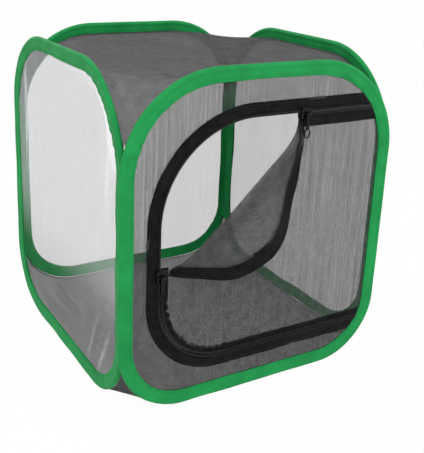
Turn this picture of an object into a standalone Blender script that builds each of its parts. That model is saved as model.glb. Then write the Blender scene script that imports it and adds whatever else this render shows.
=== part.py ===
# Pop-up insect cage, about 310 mm square and 328 mm high.
# Four rounded-square hoops of sprung steel wire sit in folded cloth bindings and are sewn
# to each other down the four corners. The back, right and front hoops carry black net, the
# left hoop carries a clear film window, and net sheets close the top and the floor. The
# front net has a D-shaped door on a coil zipper with two sliders; the door's upper left
# corner is unzipped and folded outwards.
# X runs to the right, Y away from the door, Z up. The origin is on the floor's underside,
# midway between the corner hinge lines.

import math

import bmesh
import bpy
from mathutils import Matrix, Vector

MM = 0.001

# Clearances
SEAM_GAP = 0.3 * MM        # between pieces that are sewn or seated together
CUT_OVERRUN = 4 * MM       # how far every cutter runs past what it cuts

# Hoops, measured over the binding
HOOP_WIDTH = 303 * MM
HOOP_HEIGHT = 328 * MM
TOP_RADIUS = 97 * MM
BOTTOM_RADIUS = 70 * MM
WIRE_RADIUS = 1.1 * MM
WIRE_END_GAP = 1 * MM
FERRULE_WALL = 0.4 * MM
FERRULE_LENGTH = 24 * MM
BINDING_WIDTH = 14.5 * MM
BINDING_CLOTH = 0.6 * MM
NET_SEAT = 8 * MM          # how far a panel's edge runs into its binding

# Panels
NET_THICKNESS = 0.8 * MM
FILM_THICKNESS = 0.5 * MM
SHEET_DROP = 12.5 * MM     # the top sheet is sewn in along the bindings' inner edge, this far below their crown

# Corner hinges: the front and back hoops lap over the side hoops at the corners that close
# when the cage folds, and barely pass the hinge line at the corners that open flat
LAP_CLOSING = 9.5 * MM
LAP_OPENING = 2.2 * MM

# Zipper, 28 mm across both tapes
TAPE_THICKNESS = 1.0 * MM
FRAME_TAPE_WIDTH = 13.4 * MM
DOOR_TAPE_WIDTH = 13.4 * MM
LOWER_TAPE_WIDTH = 7.4 * MM    # the rest of the lower tape is turned under the door net
COIL_WIDTH = 2.6 * MM
COIL_HEIGHT = 2.4 * MM
COIL_GAP = 1.2 * MM            # between the two coils, where the slider's divider runs

# Door, a D open to the right; its outline is the coil line, set in from the hoop's edges
DOOR_SIDE_INSET = 41.2 * MM
DOOR_TOP_INSET = 49 * MM
DOOR_BOTTOM_INSET = 45 * MM
DOOR_TOP_RADIUS = 95 * MM
DOOR_BOTTOM_RADIUS = 67 * MM
TOP_SLIDER_SHARE = 0.358       # of the straight top run, from the arc to the binding
SIDE_SLIDER_SHARE = 0.4        # of the straight side run, from the lower arc to the upper one

# Folded corner of the door: the crease runs from one slider's nose to the other's
CREASE_TOP_BACK = 6.3 * MM
CREASE_TOP_DROP = 6.0 * MM
CREASE_SIDE_BACK = 5.1 * MM
CREASE_SIDE_RISE = 3.1 * MM
CREASE_LIFT = 0.5 * MM         # hinge line in front of the net's middle
FLAP_ANGLE = math.radians(160)
FLAP_TOP_GAP = 31 * MM         # from a slider to the flap's end of the tape
FLAP_SIDE_GAP = 14 * MM

# Sliders
SLIDER_LENGTH = 12 * MM
SLIDER_PLATE = 1.2 * MM
SLIDER_RAIL = 1.2 * MM
NOSE_FLARE = 0.8 * MM
NOSE_LENGTH = 4.2 * MM
DIVIDER_WIDTH = 0.6 * MM
DIVIDER_LENGTH = 3 * MM
CROWN_SPAN = 6.8 * MM
CROWN_WIRE = 0.6 * MM
PULL_EYE_WALL = 0.7 * MM
PULL_EYE_LENGTH = 3 * MM
PULL_THICKNESS = 1.0 * MM
PULL_LENGTH = 24 * MM
PULL_STEM_WIDTH = 4 * MM
PULL_RING_WIDTH = 7 * MM
PULL_RING_HEIGHT = 9.5 * MM
PULL_RING_WALL = 1.1 * MM

# Facets
CORNER_STEPS = 8
WIRE_SIDES = 6
BEAD_STEPS = 5
SHEET_STEPS = 7
ROUND_SIDES = 16
BEND_STEPS = 3

# Sizes that follow
FERRULE_BORE = WIRE_RADIUS + SEAM_GAP
CHANNEL_RADIUS = FERRULE_BORE + FERRULE_WALL + SEAM_GAP
BEAD_RADIUS = CHANNEL_RADIUS + BINDING_CLOTH
BEAD_FACET = math.pi / BEAD_STEPS
HALF_THICKNESS = BEAD_RADIUS / math.cos(BEAD_FACET / 2)
SPAN_X = HOOP_WIDTH - LAP_CLOSING - LAP_OPENING
EDGE_OPENING = LAP_OPENING + SEAM_GAP
SPAN_Y = HOOP_WIDTH + SEAM_GAP + EDGE_OPENING
PANEL_OFFSET = SEAM_GAP + HALF_THICKNESS
LAP_SHIFT = (LAP_CLOSING - LAP_OPENING) / 2
EDGE_SHIFT = (EDGE_OPENING - SEAM_GAP) / 2
NET_INSET = BINDING_WIDTH - NET_SEAT
WINDOW_INSET = BINDING_WIDTH + SEAM_GAP
HALF_COIL_GAP = COIL_GAP / 2
COIL_SEAT = TAPE_THICKNESS / 2 + SEAM_GAP
COIL_TOP = COIL_SEAT + COIL_HEIGHT
PLATE_SEAT = COIL_TOP + SEAM_GAP
PLATE_TOP = PLATE_SEAT + SLIDER_PLATE
RAIL_INNER = HALF_COIL_GAP + COIL_WIDTH + SEAM_GAP
SLIDER_HALF_WIDTH = RAIL_INNER + SLIDER_RAIL
EYE_BORE = CROWN_WIRE + SEAM_GAP
EYE_RADIUS = EYE_BORE + PULL_EYE_WALL
CROWN_HEIGHT = PLATE_TOP + SEAM_GAP + EYE_RADIUS
DOOR_LEFT = DOOR_SIDE_INSET - HOOP_WIDTH / 2
DOOR_TOP = HOOP_HEIGHT - DOOR_TOP_INSET
DOOR_BOTTOM = DOOR_BOTTOM_INSET
TOP_RUN_START = DOOR_LEFT + DOOR_TOP_RADIUS
TOP_RUN = HOOP_WIDTH / 2 - BINDING_WIDTH - TOP_RUN_START
TOP_SLIDER = TOP_RUN_START + TOP_SLIDER_SHARE * TOP_RUN
SIDE_RUN_START = DOOR_BOTTOM + DOOR_BOTTOM_RADIUS
SIDE_RUN = DOOR_TOP - DOOR_TOP_RADIUS - SIDE_RUN_START
SIDE_SLIDER = SIDE_RUN_START + SIDE_SLIDER_SHARE * SIDE_RUN
CREASE_TOP = Vector((TOP_SLIDER - CREASE_TOP_BACK, 0, DOOR_TOP - CREASE_TOP_DROP))
CREASE_BOTTOM = Vector((DOOR_LEFT + CREASE_SIDE_BACK, 0, SIDE_SLIDER + CREASE_SIDE_RISE))
FLAP_TOP_END = TOP_SLIDER - FLAP_TOP_GAP
FLAP_SIDE_END = SIDE_SLIDER + FLAP_SIDE_GAP


def clear_scene():
    for obj in list(bpy.data.objects):
        bpy.data.objects.remove(obj, do_unlink=True)


def surface(name, colour, roughness, metallic=0.0, alpha=1.0):
    material = bpy.data.materials.new(name)
    material.use_nodes = True
    shader = material.node_tree.nodes["Principled BSDF"]
    shader.inputs["Base Color"].default_value = (*colour, 1.0)
    shader.inputs["Roughness"].default_value = roughness
    shader.inputs["Metallic"].default_value = metallic
    shader.inputs["Alpha"].default_value = alpha
    material.diffuse_color = (*colour, alpha)
    return material


def empty(name, matrix, parent=None):
    obj = bpy.data.objects.new(name, None)
    bpy.context.collection.objects.link(obj)
    if parent is not None:
        obj.parent = parent
    obj.matrix_world = matrix
    bpy.context.view_layer.update()
    return obj


def piece(name, mesh, material, parent, matrix, smooth=False):
    """Link a mesh as one named piece, placed in world space under its parent."""
    obj = bpy.data.objects.new(name, mesh)
    bpy.context.collection.objects.link(obj)
    obj.parent = parent
    obj.matrix_world = matrix
    mesh.materials.append(material)
    if smooth:
        mesh.shade_smooth()
        mesh.set_sharp_from_angle(angle=math.radians(35))
    bpy.context.view_layer.update()
    return obj


def cutter(name, mesh, like):
    obj = bpy.data.objects.new(name, mesh)
    bpy.context.collection.objects.link(obj)
    obj.parent = like.parent
    obj.matrix_world = like.matrix_world
    obj.hide_render = True
    obj.display_type = "WIRE"
    return obj


def combine(obj, tool, operation):
    modifier = obj.modifiers.new(operation.title(), "BOOLEAN")
    modifier.operation = operation
    modifier.solver = "EXACT"
    modifier.object = tool


def mesh_from(name, bm):
    bmesh.ops.recalc_face_normals(bm, faces=bm.faces)
    mesh = bpy.data.meshes.new(name)
    bm.to_mesh(mesh)
    bm.free()
    return mesh


def arc(centre, radius, start, end, steps):
    """Points on a circle about centre, from angle start to angle end."""
    points = []
    for step in range(steps + 1):
        angle = start + (end - start) * step / steps
        points.append((centre[0] + radius * math.cos(angle), centre[1] + radius * math.sin(angle)))
    return points


def hoop_outline(inset):
    """The hoop's rounded square, drawn in by inset, as (across, up) points."""
    half = HOOP_WIDTH / 2
    quarter = math.pi / 2
    corners = (
        (half - BOTTOM_RADIUS, BOTTOM_RADIUS, BOTTOM_RADIUS, -quarter),
        (half - TOP_RADIUS, HOOP_HEIGHT - TOP_RADIUS, TOP_RADIUS, 0.0),
        (TOP_RADIUS - half, HOOP_HEIGHT - TOP_RADIUS, TOP_RADIUS, quarter),
        (BOTTOM_RADIUS - half, BOTTOM_RADIUS, BOTTOM_RADIUS, 2 * quarter),
    )
    points = []
    for across, up, radius, start in corners:
        points += arc((across, up), radius - inset, start, start + quarter, CORNER_STEPS)
    return points


def slab(name, outline, low, high):
    """Extrude a flat outline of (across, up) points from depth low to high, outwards."""
    bm = bmesh.new()
    ring = [bm.verts.new((across, -low, up)) for across, up in outline]
    face = bm.faces.new(ring)
    grown = bmesh.ops.extrude_face_region(bm, geom=[face])
    moved = [item for item in grown["geom"] if isinstance(item, bmesh.types.BMVert)]
    bmesh.ops.translate(bm, verts=moved, vec=(0, low - high, 0))
    return mesh_from(name, bm)


def loft(name, rings, closed_path):
    """Skin a list of closed rings; a path that doesn't close gets an end cap at each end."""
    bm = bmesh.new()
    rows = [[bm.verts.new(point) for point in ring] for ring in rings]
    count = len(rows)
    for index in range(count if closed_path else count - 1):
        near = rows[index]
        far = rows[(index + 1) % count]
        for side in range(len(near)):
            after = (side + 1) % len(near)
            bm.faces.new((near[side], near[after], far[after], far[side]))
    if not closed_path:
        bm.faces.new(rows[0])
        bm.faces.new(list(reversed(rows[-1])))
    return mesh_from(name, bm)


def binding_section():
    """Folded tape as (inset, depth) points: a round bead over the wire and two flanks."""
    tip = NET_THICKNESS / 2 + SEAM_GAP
    knee = 2 * BEAD_RADIUS
    angles = [math.pi / 2 + BEAD_FACET * step for step in range(BEAD_STEPS + 1)]
    inner_radius = HALF_THICKNESS - BINDING_CLOTH
    outer = [(BINDING_WIDTH, tip + BINDING_CLOTH), (knee, HALF_THICKNESS)]
    outer += [(BEAD_RADIUS + HALF_THICKNESS * math.cos(a), HALF_THICKNESS * math.sin(a)) for a in angles]
    outer += [(knee, -HALF_THICKNESS), (BINDING_WIDTH, -tip - BINDING_CLOTH)]
    inner = [(BINDING_WIDTH, -tip), (knee, -inner_radius)]
    inner += [(BEAD_RADIUS + inner_radius * math.cos(a), inner_radius * math.sin(a))
              for a in reversed(angles)]
    inner += [(knee, inner_radius), (BINDING_WIDTH, tip)]
    return outer + inner


def binding_mesh(name):
    """Carry the folded section round the hoop; every point keeps its own inset."""
    loops = [(hoop_outline(inset), depth) for inset, depth in binding_section()]
    rings = []
    for index in range(len(loops[0][0])):
        rings.append([(line[index][0], -depth, line[index][1]) for line, depth in loops])
    return loft(name, rings, closed_path=True)


def wire_mesh(name):
    """Sprung wire along the bead, its two ends meeting inside the ferrule."""
    loops = []
    for side in range(WIRE_SIDES):
        angle = 2 * math.pi * (side + 0.5) / WIRE_SIDES
        inset = BEAD_RADIUS + WIRE_RADIUS * math.cos(angle)
        depth = WIRE_RADIUS * math.sin(angle)
        line = hoop_outline(inset)
        start = (WIRE_END_GAP / 2, inset)
        end = (-WIRE_END_GAP / 2, inset)
        loops.append(([start] + line + [end], depth))
    rings = []
    for index in range(len(loops[0][0])):
        rings.append([(line[index][0], -depth, line[index][1]) for line, depth in loops])
    return loft(name, rings, closed_path=False)


def tube_mesh(name, bore, radius, length, centre, axis):
    """A plain tube of given bore about a centre, along world X or along depth."""
    turn = Matrix.Rotation(math.pi / 2, 4, axis)
    rings = []
    for size, end in ((bore, -1), (radius, -1), (radius, 1), (bore, 1)):
        ring = []
        for side in range(ROUND_SIDES):
            angle = 2 * math.pi * side / ROUND_SIDES
            point = Vector((size * math.cos(angle), size * math.sin(angle), end * length / 2))
            ring.append(turn @ point + Vector(centre))
        rings.append(ring)
    return loft(name, rings, closed_path=True)


def door_line(offset):
    """The coil line's D, moved outwards by offset, from the top right end to the bottom one."""
    end = HOOP_WIDTH / 2
    top = DOOR_TOP_RADIUS
    bottom = DOOR_BOTTOM_RADIUS
    points = [(end, DOOR_TOP + offset)]
    points += arc((DOOR_LEFT + top, DOOR_TOP - top), top + offset, math.pi / 2, math.pi, 2 * CORNER_STEPS)
    points += arc((DOOR_LEFT + bottom, DOOR_BOTTOM + bottom), bottom + offset,
                  math.pi, 1.5 * math.pi, CORNER_STEPS)
    points.append((end, DOOR_BOTTOM - offset))
    return points


def door_band(inner, outer):
    """A strip that follows the D between two offsets from the coil line."""
    return door_line(outer) + list(reversed(door_line(inner)))


def box_outline(left, right, low, high):
    return [(left, low), (right, low), (right, high), (left, high)]


def crease_side(margin, side):
    """A large wedge on one side of the crease: +1 is the flap's side, -1 the door's."""
    along = (CREASE_BOTTOM - CREASE_TOP).normalized()
    across = Vector((along.z, 0, -along.x)) * side
    reach = 2 * HOOP_WIDTH
    edge = across * margin
    corners = [CREASE_TOP - along * reach + edge, CREASE_BOTTOM + along * reach + edge]
    corners += [corners[1] + across * reach, corners[0] + across * reach]
    return [(point.x, point.z) for point in corners]


def trim(obj, outline, low, high, operation, name):
    tool = cutter(obj.name + name, slab(obj.name + name, outline, low - CUT_OVERRUN, high + CUT_OVERRUN), obj)
    combine(obj, tool, operation)


def sheet_mesh(name, flat_level, radius, thickness, upwards):
    """Cloth between the four hoops: flat in the middle, and bent down at each corner
    about a line at 45 degrees, so that its edges follow the hoops' rounded corners."""
    half_x = SPAN_X / 2
    half_y = SPAN_Y / 2
    sign = 1 if upwards else -1

    def stations(half):
        steps = [radius * step / SHEET_STEPS for step in range(SHEET_STEPS + 1)]
        positive = [half - radius + step for step in steps]
        return [-value for value in reversed(positive)] + positive

    def bending(x, y):
        across = max(0.0, (abs(x) - half_x + radius) / radius)
        along = max(0.0, (abs(y) - half_y + radius) / radius)
        return min(max(0.0, across + along - 1), 1.0)

    bm = bmesh.new()
    outer_rows = []
    inner_rows = []
    for y in stations(half_y):
        outer = []
        inner = []
        for x in stations(half_x):
            bend = bending(x, y)
            slope = math.asin(bend)
            drop = radius * (1 - math.cos(slope))
            length = math.sqrt(1 + bend * bend)
            lean = bend / length
            normal = Vector((math.copysign(lean, x), math.copysign(lean, y),
                             sign * math.cos(slope) / length))
            point = Vector((x, y, flat_level - sign * drop))
            outer.append(bm.verts.new(point))
            inner.append(bm.verts.new(point - normal * thickness))
        outer_rows.append(outer)
        inner_rows.append(inner)

    count = len(outer_rows)
    for rows in (outer_rows, inner_rows):
        for j in range(count - 1):
            for i in range(count - 1):
                quad = [rows[j][i], rows[j][i + 1], rows[j + 1][i + 1], rows[j + 1][i]]
                flipped = (i < count // 2) == (j < count // 2)
                cut = (1, 3) if flipped else (0, 2)
                first = [quad[cut[0]], quad[cut[0] + 1], quad[(cut[0] + 2) % 4]]
                second = [quad[cut[1]], quad[(cut[1] + 1) % 4], quad[(cut[1] + 2) % 4]]
                bm.faces.new(first)
                bm.faces.new(second)
    last = count - 1
    rim = [(0, i) for i in range(last)] + [(j, last) for j in range(last)]
    rim += [(last, i) for i in range(last, 0, -1)] + [(j, 0) for j in range(last, 0, -1)]
    for step, (j, i) in enumerate(rim):
        next_j, next_i = rim[(step + 1) % len(rim)]
        bm.faces.new((outer_rows[j][i], outer_rows[next_j][next_i],
                      inner_rows[next_j][next_i], inner_rows[j][i]))
    return mesh_from(name, bm)


def slider_outline():
    """The slider's plate as (along, across) points: a narrow tail and a flared nose."""
    half = SLIDER_LENGTH / 2
    round_off = SLIDER_RAIL
    nose = SLIDER_HALF_WIDTH + NOSE_FLARE
    quarter = math.pi / 2
    upper = arc((half - round_off, SLIDER_HALF_WIDTH - round_off), round_off, 0, quarter, BEND_STEPS)
    upper.append((NOSE_LENGTH - half, nose))
    upper += arc((round_off - half, nose - round_off), round_off, quarter, 2 * quarter, BEND_STEPS)
    return upper + [(along, -across) for along, across in reversed(upper)]


def crown_mesh(name, lengthwise):
    """The slider's crown: round wire bent into a staple over the front plate."""
    bend = CROWN_HEIGHT - PLATE_TOP - EYE_BORE
    shoulder = CROWN_SPAN / 2 - bend
    foot = PLATE_TOP - SLIDER_PLATE / 2
    path = [(-CROWN_SPAN / 2, foot, math.pi / 2)]
    for start, centre in ((math.pi, -shoulder), (math.pi / 2, shoulder)):
        for step in range(BEND_STEPS + 1):
            angle = start - math.pi / 2 * step / BEND_STEPS
            path.append((centre + bend * math.cos(angle),
                         CROWN_HEIGHT - bend + bend * math.sin(angle), angle - math.pi / 2))
    path.append((CROWN_SPAN / 2, foot, -math.pi / 2))
    rings = []
    for along, depth, heading in path:
        ring = []
        for side in range(ROUND_SIDES // 2):
            angle = 2 * math.pi * side / (ROUND_SIDES // 2)
            out = CROWN_WIRE * math.cos(angle)
            shift = along - out * math.sin(heading)
            rise = depth + out * math.cos(heading)
            side_shift = CROWN_WIRE * math.sin(angle)
            if lengthwise:
                ring.append((shift, -rise, side_shift))
            else:
                ring.append((side_shift, -rise, shift))
        rings.append(ring)
    return loft(name, rings, closed_path=False)


def slider(name, material, parent, matrix, lengthwise_crown):
    """Two plates over and under the coils, joined by a divider at the nose and carrying
    rails that hold the coils together; the nose points to the open side."""
    half = SLIDER_LENGTH / 2
    back = -TAPE_THICKNESS / 2 - SEAM_GAP
    overlap = SLIDER_PLATE / 4
    outline = slider_outline()
    body = piece(name, slab(name, outline, PLATE_SEAT, PLATE_TOP), material, parent, matrix)
    parts = [slab(name + "_back", outline, back - SLIDER_PLATE, back)]
    divider = box_outline(DIVIDER_WIDTH - half, DIVIDER_WIDTH + DIVIDER_LENGTH - half,
                          -DIVIDER_WIDTH / 2, DIVIDER_WIDTH / 2)
    parts.append(slab(name + "_divider", divider, back - overlap, PLATE_SEAT + overlap))
    for side in (-1, 1):
        near, far = sorted((side * RAIL_INNER, side * (SLIDER_HALF_WIDTH - overlap)))
        rail = box_outline(SLIDER_RAIL - half, half - SLIDER_RAIL, near, far)
        parts.append(slab(name + "_rail", rail, COIL_SEAT, PLATE_SEAT + overlap))
    parts.append(crown_mesh(name + "_crown", lengthwise_crown))
    for mesh in parts:
        combine(body, cutter(mesh.name, mesh, body), "UNION")
    return body


def pull(name, material, parent, matrix):
    """A stamped tab: an eye rolled round the crown, a stem and an oval ring."""
    eye = tube_mesh(name, EYE_BORE, EYE_RADIUS, PULL_EYE_LENGTH, (0, 0, 0), "Y")
    tab = piece(name, eye, material, parent, matrix)
    ring_centre = PULL_RING_HEIGHT / 2 - PULL_LENGTH
    wide = PULL_RING_WIDTH / 2
    tall = PULL_RING_HEIGHT / 2
    stem = PULL_STEM_WIDTH / 2
    shoulder = math.asin(stem / wide)
    outline = [(-stem, -EYE_BORE - PULL_EYE_WALL / 2)]
    for step in range(ROUND_SIDES + 1):
        angle = shoulder + (2 * math.pi - 2 * shoulder) * step / ROUND_SIDES
        outline.append((-wide * math.sin(angle), ring_centre + tall * math.cos(angle)))
    outline.append((stem, outline[0][1]))
    half = PULL_THICKNESS / 2
    combine(tab, cutter(name + "_tab", slab(name + "_tab", outline, -half, half), tab), "UNION")
    hole = []
    for step in range(ROUND_SIDES):
        angle = 2 * math.pi * step / ROUND_SIDES
        hole.append(((wide - PULL_RING_WALL) * math.cos(angle),
                     ring_centre + (tall - PULL_RING_WALL) * math.sin(angle)))
    trim(tab, hole, -half, half, "DIFFERENCE", "_hole")
    return tab


def hoop(side, materials, parent, matrix):
    """One hoop: its wire, the ferrule that closes the wire, and the folded binding."""
    piece(side + "_wire", wire_mesh(side + "_wire"), materials["wire"], parent, matrix, smooth=True)
    ferrule = tube_mesh(side + "_ferrule", FERRULE_BORE, FERRULE_BORE + FERRULE_WALL,
                        FERRULE_LENGTH, (0, 0, BEAD_RADIUS), "Y")
    piece(side + "_ferrule", ferrule, materials["ferrule"], parent, matrix, smooth=True)
    piece(side + "_binding", binding_mesh(side + "_binding"), materials["binding"], parent, matrix,
          smooth=True)


def panel(name, thickness, material, parent, matrix):
    half = thickness / 2
    return piece(name, slab(name, hoop_outline(NET_INSET), -half, half), material, parent, matrix)


def build_door(materials, parent, matrix):
    """The front net round the door, the zipper along the D, and the door's own net."""
    net = NET_THICKNESS / 2
    tape = TAPE_THICKNESS / 2
    window = hoop_outline(WINDOW_INSET)
    far = 2 * HOOP_WIDTH

    front = panel("front_net", NET_THICKNESS, materials["net"], parent, matrix)
    tape_edge = HALF_COIL_GAP + FRAME_TAPE_WIDTH
    trim(front, door_line(tape_edge + SEAM_GAP), -net, net, "DIFFERENCE", "_door")

    def strip(name, inner, outer, low, high, material, keep):
        mesh = slab(name, door_band(inner, outer), low, high)
        obj = piece(name, mesh, materials[material], parent, matrix)
        trim(obj, window, low, high, "INTERSECT", "_window")
        if keep:
            trim(obj, keep, low, high, "INTERSECT", "_end")
        return obj

    coil_edge = HALF_COIL_GAP + COIL_WIDTH
    strip("frame_tape", HALF_COIL_GAP, tape_edge, -tape, tape, "tape", None)
    strip("frame_coil", HALF_COIL_GAP, coil_edge, COIL_SEAT, COIL_TOP, "coil", None)

    top_start = TOP_SLIDER - SLIDER_LENGTH / 2 + DIVIDER_LENGTH
    top_end = box_outline(top_start, far, DOOR_TOP - DOOR_TAPE_WIDTH - COIL_WIDTH, far)
    side_start = SIDE_SLIDER + SLIDER_LENGTH / 2 - DIVIDER_LENGTH
    low_end = box_outline(-far, far, -far, side_start)
    door_edge = -HALF_COIL_GAP - DOOR_TAPE_WIDTH
    low_edge = -HALF_COIL_GAP - LOWER_TAPE_WIDTH
    strip("door_tape_top", door_edge, -HALF_COIL_GAP, -tape, tape, "tape", top_end)
    strip("door_coil_top", -coil_edge, -HALF_COIL_GAP, COIL_SEAT, COIL_TOP, "coil", top_end)
    strip("door_tape_low", low_edge, -HALF_COIL_GAP, -tape, tape, "tape", low_end)
    strip("door_coil_low", -coil_edge, -HALF_COIL_GAP, COIL_SEAT, COIL_TOP, "coil", low_end)

    mesh = slab("door_net", door_line(low_edge - SEAM_GAP), -net, net)
    door = piece("door_net", mesh, materials["net"], parent, matrix)
    trim(door, hoop_outline(NET_INSET), -net, net, "INTERSECT", "_hoop")
    trim(door, crease_side(SEAM_GAP, -1), -net, net, "INTERSECT", "_crease")
    top_cut = box_outline(top_start - SEAM_GAP, far, DOOR_TOP + door_edge - SEAM_GAP, far)
    trim(door, top_cut, -net, net, "DIFFERENCE", "_tape")


def build_flap(materials, parent, matrix):
    """The door's upper left corner, drawn closed; its parent holds it folded outwards."""
    net = NET_THICKNESS / 2
    tape = TAPE_THICKNESS / 2
    far = 2 * HOOP_WIDTH
    ends = box_outline(-far, FLAP_TOP_END, FLAP_SIDE_END, far)
    tape_inner = -HALF_COIL_GAP - DOOR_TAPE_WIDTH
    coil_inner = -HALF_COIL_GAP - COIL_WIDTH

    def part(name, outline, low, high, material):
        obj = piece(name, slab(name, outline, low, high), materials[material], parent, matrix)
        trim(obj, crease_side(SEAM_GAP, 1), low, high, "INTERSECT", "_crease")
        trim(obj, ends, low, high, "INTERSECT", "_end")

    part("flap_net", door_line(tape_inner - SEAM_GAP), -net, net, "net")
    part("flap_tape", door_band(tape_inner, -HALF_COIL_GAP), -tape, tape, "tape")
    part("flap_coil", door_band(coil_inner, -HALF_COIL_GAP), COIL_SEAT, COIL_TOP, "coil")


def main():
    clear_scene()
    materials = {
        "binding": surface("woven binding tape", (0.018, 0.314, 0.080), 0.75),
        "net": surface("polyester net", (0.055, 0.055, 0.057), 0.9, alpha=0.7),
        "film": surface("clear film", (0.85, 0.86, 0.87), 0.12, alpha=0.25),
        "wire": surface("spring steel", (0.45, 0.45, 0.47), 0.35, metallic=1.0),
        "ferrule": surface("plated ferrule", (0.55, 0.53, 0.48), 0.3, metallic=1.0),
        "tape": surface("zipper tape", (0.012, 0.012, 0.013), 0.85),
        "coil": surface("nylon coil", (0.010, 0.010, 0.011), 0.4),
        "slider": surface("zinc alloy", (0.10, 0.10, 0.105), 0.35, metallic=1.0),
    }
    half_x = SPAN_X / 2
    half_y = SPAN_Y / 2
    front_y = -half_y - PANEL_OFFSET
    side_x = half_x + PANEL_OFFSET
    quarter = math.pi / 2
    front_place = Matrix.Translation((-LAP_SHIFT, front_y, 0))
    back_place = Matrix.Translation((LAP_SHIFT, -front_y, 0)) @ Matrix.Rotation(2 * quarter, 4, "Z")
    left_place = Matrix.Translation((-side_x, -EDGE_SHIFT, 0)) @ Matrix.Rotation(-quarter, 4, "Z")
    right_place = Matrix.Translation((side_x, EDGE_SHIFT, 0)) @ Matrix.Rotation(quarter, 4, "Z")

    back_frame = empty("back_frame", Matrix())
    left_hinge = empty("left_hinge", Matrix.Translation((-half_x, half_y, 0)), back_frame)
    right_hinge = empty("right_hinge", Matrix.Translation((half_x, half_y, 0)), back_frame)
    front_hinge = empty("front_hinge", Matrix.Translation((-half_x, -half_y, 0)), left_hinge)

    hoop("back", materials, back_frame, back_place)
    panel("back_net", NET_THICKNESS, materials["net"], back_frame, back_place)
    hoop("left", materials, left_hinge, left_place)
    panel("left_window", FILM_THICKNESS, materials["film"], left_hinge, left_place)
    hoop("front", materials, front_hinge, front_place)
    hoop("right", materials, right_hinge, right_place)
    panel("right_net", NET_THICKNESS, materials["net"], right_hinge, right_place)

    top_level = HOOP_HEIGHT - SHEET_DROP
    top = sheet_mesh("top_net", top_level, TOP_RADIUS - SHEET_DROP, NET_THICKNESS, upwards=True)
    piece("top_net", top, materials["net"], back_frame, Matrix(), smooth=True)
    floor = sheet_mesh("floor_net", 0, BOTTOM_RADIUS, NET_THICKNESS, upwards=False)
    piece("floor_net", floor, materials["net"], back_frame, Matrix(), smooth=True)

    build_door(materials, front_hinge, front_place)

    crease = (CREASE_TOP - CREASE_BOTTOM).normalized()
    crease_point = CREASE_TOP + Vector((0, -CREASE_LIFT, 0))
    turn = Matrix.Rotation(FLAP_ANGLE, 4, crease)
    flap_hinge = empty("flap_hinge", front_place @ Matrix.Translation(crease_point) @ turn, front_hinge)
    flap_place = flap_hinge.matrix_world @ Matrix.Translation(-crease_point)
    build_flap(materials, flap_hinge, flap_place)

    top_place = front_place @ Matrix.Translation((TOP_SLIDER, 0, DOOR_TOP))
    side_place = front_place @ Matrix.Translation((DOOR_LEFT, 0, SIDE_SLIDER))
    crown = Matrix.Translation((0, -CROWN_HEIGHT, 0))
    upright = Matrix.Rotation(quarter, 4, "Y")
    top_slider = slider("top_slider", materials["slider"], front_hinge, top_place, True)
    pull("top_pull", materials["slider"], top_slider, top_place @ crown)
    side_slider = slider("side_slider", materials["slider"], front_hinge, side_place @ upright, False)
    pull("side_pull", materials["slider"], side_slider, side_place @ crown)


main()
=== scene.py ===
import math
from functools import partial

import bmesh
import bpy
import numpy as np
from mathutils import Matrix, Vector, geometry


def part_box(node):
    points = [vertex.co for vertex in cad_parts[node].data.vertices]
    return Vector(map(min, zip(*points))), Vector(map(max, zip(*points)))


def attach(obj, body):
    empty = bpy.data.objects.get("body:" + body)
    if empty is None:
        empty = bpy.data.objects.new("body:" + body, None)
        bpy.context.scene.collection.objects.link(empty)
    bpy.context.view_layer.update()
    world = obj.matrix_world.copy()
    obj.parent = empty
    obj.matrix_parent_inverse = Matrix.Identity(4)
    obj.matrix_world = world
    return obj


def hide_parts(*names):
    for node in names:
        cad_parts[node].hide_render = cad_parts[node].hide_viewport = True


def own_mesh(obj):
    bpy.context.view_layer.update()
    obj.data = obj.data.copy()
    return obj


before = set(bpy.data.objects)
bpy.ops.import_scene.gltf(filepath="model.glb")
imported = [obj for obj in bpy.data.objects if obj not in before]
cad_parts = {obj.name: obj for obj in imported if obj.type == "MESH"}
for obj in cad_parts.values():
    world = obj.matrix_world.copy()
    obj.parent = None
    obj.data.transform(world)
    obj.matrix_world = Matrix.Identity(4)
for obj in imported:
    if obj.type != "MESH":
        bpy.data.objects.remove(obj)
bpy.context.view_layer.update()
mm = 0.001
print("frame loaded,", len(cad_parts), "nodes")


# Camera first: it is the photograph's view, found by fitting the hoops' outlines
cameraSettings = {
    "place": (-407.04, -716.36, 438.94),
    "yaw": 0.5319, "pitch": 0.3171, "roll": 0.0373,  # radians
    "lens": 60.94, "sensor": 36, "shift": (0.03, -0.10),
}


def newObject(name, data):
    made = bpy.data.objects.new(name, data)
    bpy.context.scene.collection.objects.link(made)
    return made


def makeCamera(settings):
    # level and looking along y, then turned down by the pitch, clockwise by the yaw and about its own axis
    data = bpy.data.cameras.new("studioCamera")
    data.sensor_fit = "AUTO"
    data.sensor_width = settings["sensor"]
    data.lens = settings["lens"]
    data.shift_x, data.shift_y = settings["shift"]
    camera = newObject("studioCamera", data)
    turn = Matrix.Rotation(math.pi / 2 - settings["pitch"], 4, "X") @ Matrix.Rotation(settings["roll"], 4, "Z")
    turn = Matrix.Rotation(-settings["yaw"], 4, "Z") @ turn
    camera.matrix_world = Matrix.Translation(Vector(settings["place"]) * mm) @ turn
    bpy.context.scene.camera = camera


makeCamera(cameraSettings)


# Materials
def colour(text):
    # sRGB hex to linear, each channel by the sRGB curve
    channels = [int(text[k:k + 2], 16) / 255 for k in (0, 2, 4)]
    return tuple(c / 12.92 if c <= 0.04045 else ((c + 0.055) / 1.055) ** 2.4 for c in channels) + (1.0,)


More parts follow.
